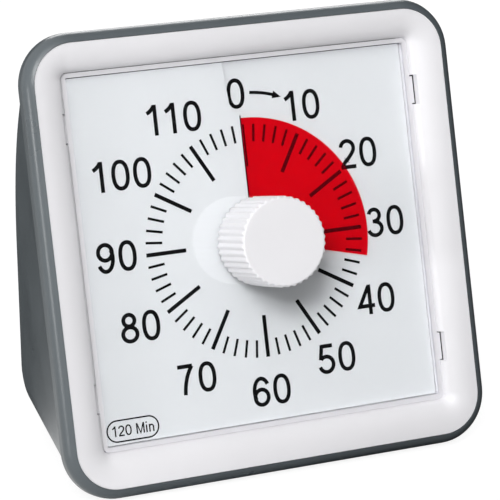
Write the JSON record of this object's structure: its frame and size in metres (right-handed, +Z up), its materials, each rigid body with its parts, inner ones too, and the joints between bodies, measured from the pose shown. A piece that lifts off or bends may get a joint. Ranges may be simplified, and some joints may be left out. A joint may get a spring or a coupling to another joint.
{
  "type": "visual countdown timer",
  "caption": "Desk timer with a square leaning face: a ribbed knob turns a red film disc through a slit in the dial to show the time left.",
  "frame": {"origin": "middle of the bounding box, at the bottom: on the table, under the feet", "axes": "+Z up, -Y towards the user (the face looks towards -Y and leans back 16 degrees), +X to the right as the user sees it"},
  "size_m": [0.12, 0.0744, 0.1164],
  "materials": {
    "case_plastic": "fine matt texture",
    "slider_plastic": "matt",
    "bezel_plastic": "gloss",
    "window_clear": "clear, polished",
    "dial_card": "satin print",
    "film_red": "translucent satin",
    "knob_plastic": "satin",
    "inner_plastic": "as moulded",
    "gear_plastic": "as moulded",
    "brass": "turned",
    "spindle_steel": "ground",
    "screw_steel": "zinc plated",
    "motor_iron": "stamped",
    "magnet": "sintered",
    "copper_wire": "enamelled wire",
    "board_laminate": "solder mask",
    "component_black": "moulded",
    "component_metal": "drawn can",
    "battery_sleeve": "printed sleeve, plain",
    "contact_nickel": "nickel plated",
    "foot_rubber": "matt",
    "lead_sleeve": "soft sleeve"
  },
  "bodies": {
    "case": {"rear_case": "case_plastic", "rubber_feet": "foot_rubber", "front_bezel": "bezel_plastic", "front_window": "window_clear", "dial_face": "dial_card", "dial_backplate": "inner_plastic", "spindle_bush": "brass", "stator_plate": "motor_iron", "coil_core": "motor_iron", "coil_bobbin": "inner_plastic", "coil_winding": "copper_wire", "movement_base": "inner_plastic", "movement_cover": "inner_plastic", "movement_screws": "screw_steel", "plate_screws": "screw_steel", "case_screws": "screw_steel", "circuit_board": "board_laminate", "timer_chip": "component_black", "quartz_crystal": "component_metal", "capacitor": "component_black", "board_screws": "screw_steel", "buzzer": "component_black", "alarm_switch": "component_black", "battery": "battery_sleeve", "contact_positive": "contact_nickel", "contact_negative": "contact_nickel", "motor_lead": "lead_sleeve"},
    "knob": {"setting_knob": "knob_plastic", "disc_hub": "inner_plastic", "spindle": "spindle_steel", "clutch_washer": "spindle_steel", "retaining_clip": "spindle_steel"},
    "film": {"red_disc": "film_red"},
    "drive_wheel": {"drive_wheel": "gear_plastic"},
    "second_wheel": {"second_wheel": "gear_plastic"},
    "third_wheel": {"third_wheel": "gear_plastic"},
    "rotor": {"rotor": "gear_plastic", "rotor_magnet": "magnet"},
    "battery_door": {"battery_door": "case_plastic"},
    "alarm_slider": {"alarm_slider": "slider_plastic"}
  },
  "joints": [
    {"name": "knob_turn", "type": "hinge", "parent": "case", "child": "knob", "pos_m": [0, -0.01468, 0.0586], "axis": [0, 0.9613, -0.2756], "range_deg": [-104.5, 255.5]},
    {"name": "film_lift", "type": "slide", "parent": "knob", "child": "film", "axis": [0, -0.9613, 0.2756], "range_m": [-0.00027, 0.00065]},
    {"name": "rotor_turn", "type": "hinge", "parent": "case", "child": "rotor", "pos_m": [-0.01443, -0.01187, 0.06841], "axis": [0, 0.9613, -0.2756], "continuous": true},
    {"name": "third_wheel_turn", "type": "hinge", "parent": "case", "child": "third_wheel", "pos_m": [-0.01443, -0.01468, 0.0586], "axis": [0, 0.9613, -0.2756], "continuous": true},
    {"name": "second_wheel_turn", "type": "hinge", "parent": "case", "child": "second_wheel", "pos_m": [-0.00721, -0.01667, 0.05167], "axis": [0, 0.9613, -0.2756], "continuous": true},
    {"name": "drive_wheel_turn", "type": "hinge", "parent": "case", "child": "drive_wheel", "pos_m": [0, -0.01468, 0.0586], "axis": [0, 0.9613, -0.2756], "continuous": true},
    {"name": "battery_door_hinge", "type": "hinge", "parent": "case", "child": "battery_door", "pos_m": [0, 0.03474, 0.02383], "axis": [-1, 0, 0], "range_deg": [0, 90]},
    {"name": "alarm_slide", "type": "slide", "parent": "case", "child": "alarm_slider", "axis": [-1, 0, 0], "range_m": [0, 0.004]}
  ],
  "couplings": [
    {"joint": "film_lift", "follows": "knob_turn", "m_per_rad": 0.00014324},
    {"joint": "third_wheel_turn", "follows": "rotor_turn", "ratio": -0.13333},
    {"joint": "second_wheel_turn", "follows": "rotor_turn", "ratio": 0.017778},
    {"joint": "drive_wheel_turn", "follows": "rotor_turn", "ratio": -0.0023704}
  ]
}
